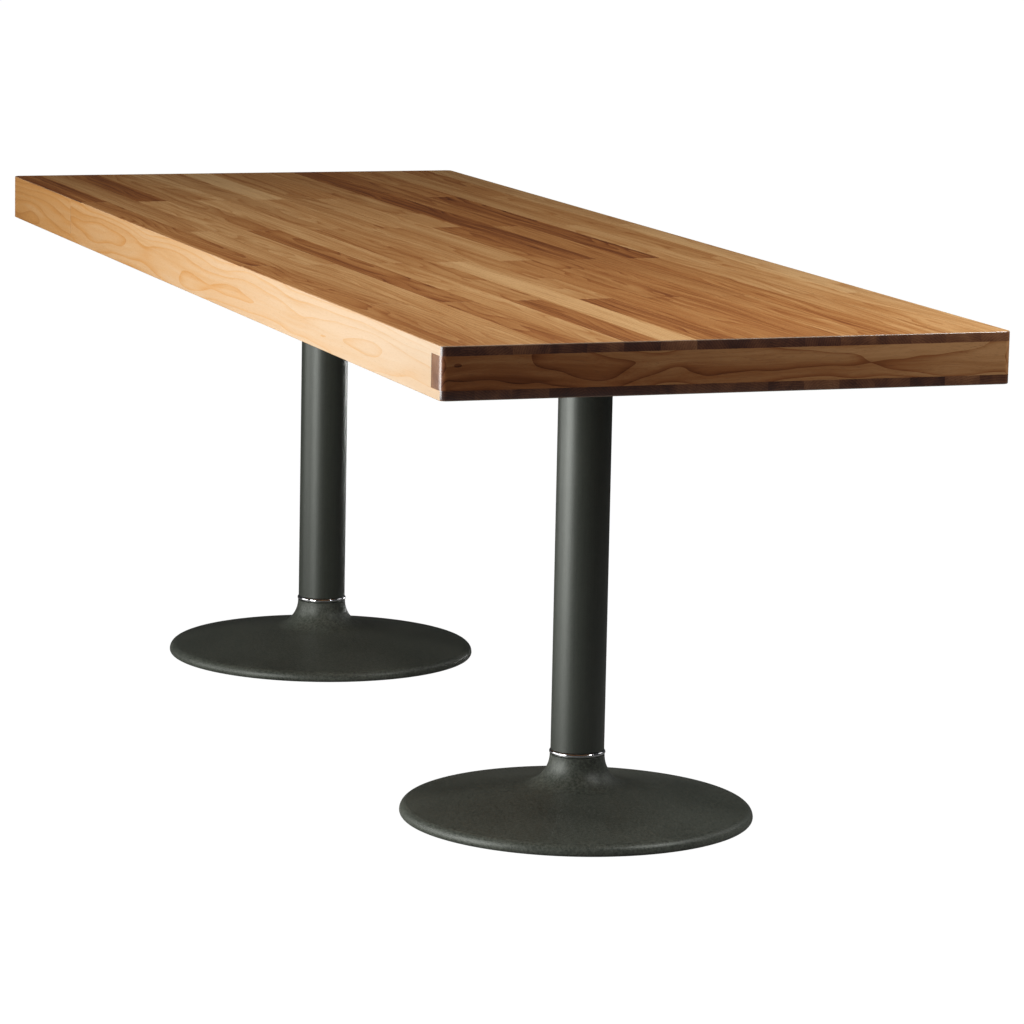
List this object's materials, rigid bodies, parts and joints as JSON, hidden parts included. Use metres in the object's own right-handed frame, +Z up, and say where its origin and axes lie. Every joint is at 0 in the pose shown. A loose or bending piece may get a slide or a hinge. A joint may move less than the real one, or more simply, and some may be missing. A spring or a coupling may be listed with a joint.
{
  "type": "butcher block table",
  "caption": "Long butcher block table: thick laminated wood top on round pedestal bases with plain tube columns and polished neck rings.",
  "frame": {"origin": "on the floor under the middle of the top", "axes": "+Z up, X along the top's length, Y across its width"},
  "size_m": [2.25, 0.79, 0.75],
  "materials": {
    "face_wood": "satin oiled strips of varied brown and gold, side grain on the face and dark end grain at the ends",
    "side_wood": "satin oiled pale side grain",
    "end_wood": "satin oiled dark brown board with wavy grain",
    "core_wood": "raw glued core",
    "column_paint": "satin grey-green paint",
    "base_paint": "fine-textured grey-green paint",
    "polished_metal": "polished",
    "plate_steel": "black satin",
    "zinc_steel": "zinc plated",
    "pad_plastic": "moulded matte"
  },
  "bodies": {
    "table": {"face_strip_01": "face_wood", "face_strip_02": "face_wood", "face_strip_03": "face_wood", "face_strip_04": "face_wood", "face_strip_05": "face_wood", "face_strip_06": "face_wood", "face_strip_07": "face_wood", "face_strip_08": "face_wood", "face_strip_09": "face_wood", "face_strip_10": "face_wood", "face_strip_11": "face_wood", "face_strip_12": "face_wood", "face_strip_13": "face_wood", "face_strip_14": "face_wood", "face_strip_15": "face_wood", "face_strip_16": "face_wood", "left_end_board": "end_wood", "right_end_board": "end_wood", "front_side_board_long": "side_wood", "front_side_board_short": "side_wood", "rear_side_board_long": "side_wood", "rear_side_board_short": "side_wood", "core_panel": "core_wood", "underside_panel": "face_wood", "left_base": "base_paint", "left_neck_ring": "polished_metal", "left_column": "column_paint", "left_mounting_plate": "plate_steel", "left_tie_rod": "zinc_steel", "left_rod_washer": "zinc_steel", "left_rod_nut": "zinc_steel", "left_plate_screw_1": "zinc_steel", "left_plate_screw_2": "zinc_steel", "left_plate_screw_3": "zinc_steel", "left_plate_screw_4": "zinc_steel", "right_base": "base_paint", "right_neck_ring": "polished_metal", "right_column": "column_paint", "right_mounting_plate": "plate_steel", "right_tie_rod": "zinc_steel", "right_rod_washer": "zinc_steel", "right_rod_nut": "zinc_steel", "right_plate_screw_1": "zinc_steel", "right_plate_screw_2": "zinc_steel", "right_plate_screw_3": "zinc_steel", "right_plate_screw_4": "zinc_steel"},
    "left_pad_1": {"left_glide_pad_1": "pad_plastic"},
    "left_stem_1": {"left_glide_stem_1": "zinc_steel"},
    "left_pad_2": {"left_glide_pad_2": "pad_plastic"},
    "left_stem_2": {"left_glide_stem_2": "zinc_steel"},
    "left_pad_3": {"left_glide_pad_3": "pad_plastic"},
    "left_stem_3": {"left_glide_stem_3": "zinc_steel"},
    "right_pad_1": {"right_glide_pad_1": "pad_plastic"},
    "right_stem_1": {"right_glide_stem_1": "zinc_steel"},
    "right_pad_2": {"right_glide_pad_2": "pad_plastic"},
    "right_stem_2": {"right_glide_stem_2": "zinc_steel"},
    "right_pad_3": {"right_glide_pad_3": "pad_plastic"},
    "right_stem_3": {"right_glide_stem_3": "zinc_steel"}
  },
  "joints": [
    {"name": "left_glide_travel_1", "type": "slide", "parent": "table", "child": "left_pad_1", "axis": [0, 0, -1], "range_m": [0, 0.0081]},
    {"name": "left_glide_turn_1", "type": "hinge", "parent": "left_pad_1", "child": "left_stem_1", "pos_m": [-0.43545, 0.095, 0], "axis": [0, 0, 1], "range_deg": [0, 2304]},
    {"name": "left_glide_travel_2", "type": "slide", "parent": "table", "child": "left_pad_2", "axis": [0, 0, -1], "range_m": [0, 0.0081]},
    {"name": "left_glide_turn_2", "type": "hinge", "parent": "left_pad_2", "child": "left_stem_2", "pos_m": [-0.76455, 0.095, 0], "axis": [0, 0, 1], "range_deg": [0, 2304]},
    {"name": "left_glide_travel_3", "type": "slide", "parent": "table", "child": "left_pad_3", "axis": [0, 0, -1], "range_m": [0, 0.0081]},
    {"name": "left_glide_turn_3", "type": "hinge", "parent": "left_pad_3", "child": "left_stem_3", "pos_m": [-0.6, -0.19, 0], "axis": [0, 0, 1], "range_deg": [0, 2304]},
    {"name": "right_glide_travel_1", "type": "slide", "parent": "table", "child": "right_pad_1", "axis": [0, 0, -1], "range_m": [0, 0.0081]},
    {"name": "right_glide_turn_1", "type": "hinge", "parent": "right_pad_1", "child": "right_stem_1", "pos_m": [0.76455, 0.095, 0], "axis": [0, 0, 1], "range_deg": [0, 2304]},
    {"name": "right_glide_travel_2", "type": "slide", "parent": "table", "child": "right_pad_2", "axis": [0, 0, -1], "range_m": [0, 0.0081]},
    {"name": "right_glide_turn_2", "type": "hinge", "parent": "right_pad_2", "child": "right_stem_2", "pos_m": [0.43545, 0.095, 0], "axis": [0, 0, 1], "range_deg": [0, 2304]},
    {"name": "right_glide_travel_3", "type": "slide", "parent": "table", "child": "right_pad_3", "axis": [0, 0, -1], "range_m": [0, 0.0081]},
    {"name": "right_glide_turn_3", "type": "hinge", "parent": "right_pad_3", "child": "right_stem_3", "pos_m": [0.6, -0.19, 0], "axis": [0, 0, 1], "range_deg": [0, 2304]}
  ],
  "couplings": [
    {"joint": "left_glide_travel_1", "follows": "left_glide_turn_1", "m_per_rad": 0.00019894},
    {"joint": "left_glide_travel_2", "follows": "left_glide_turn_2", "m_per_rad": 0.00019894},
    {"joint": "left_glide_travel_3", "follows": "left_glide_turn_3", "m_per_rad": 0.00019894},
    {"joint": "right_glide_travel_1", "follows": "right_glide_turn_1", "m_per_rad": 0.00019894},
    {"joint": "right_glide_travel_2", "follows": "right_glide_turn_2", "m_per_rad": 0.00019894},
    {"joint": "right_glide_travel_3", "follows": "right_glide_turn_3", "m_per_rad": 0.00019894}
  ]
}
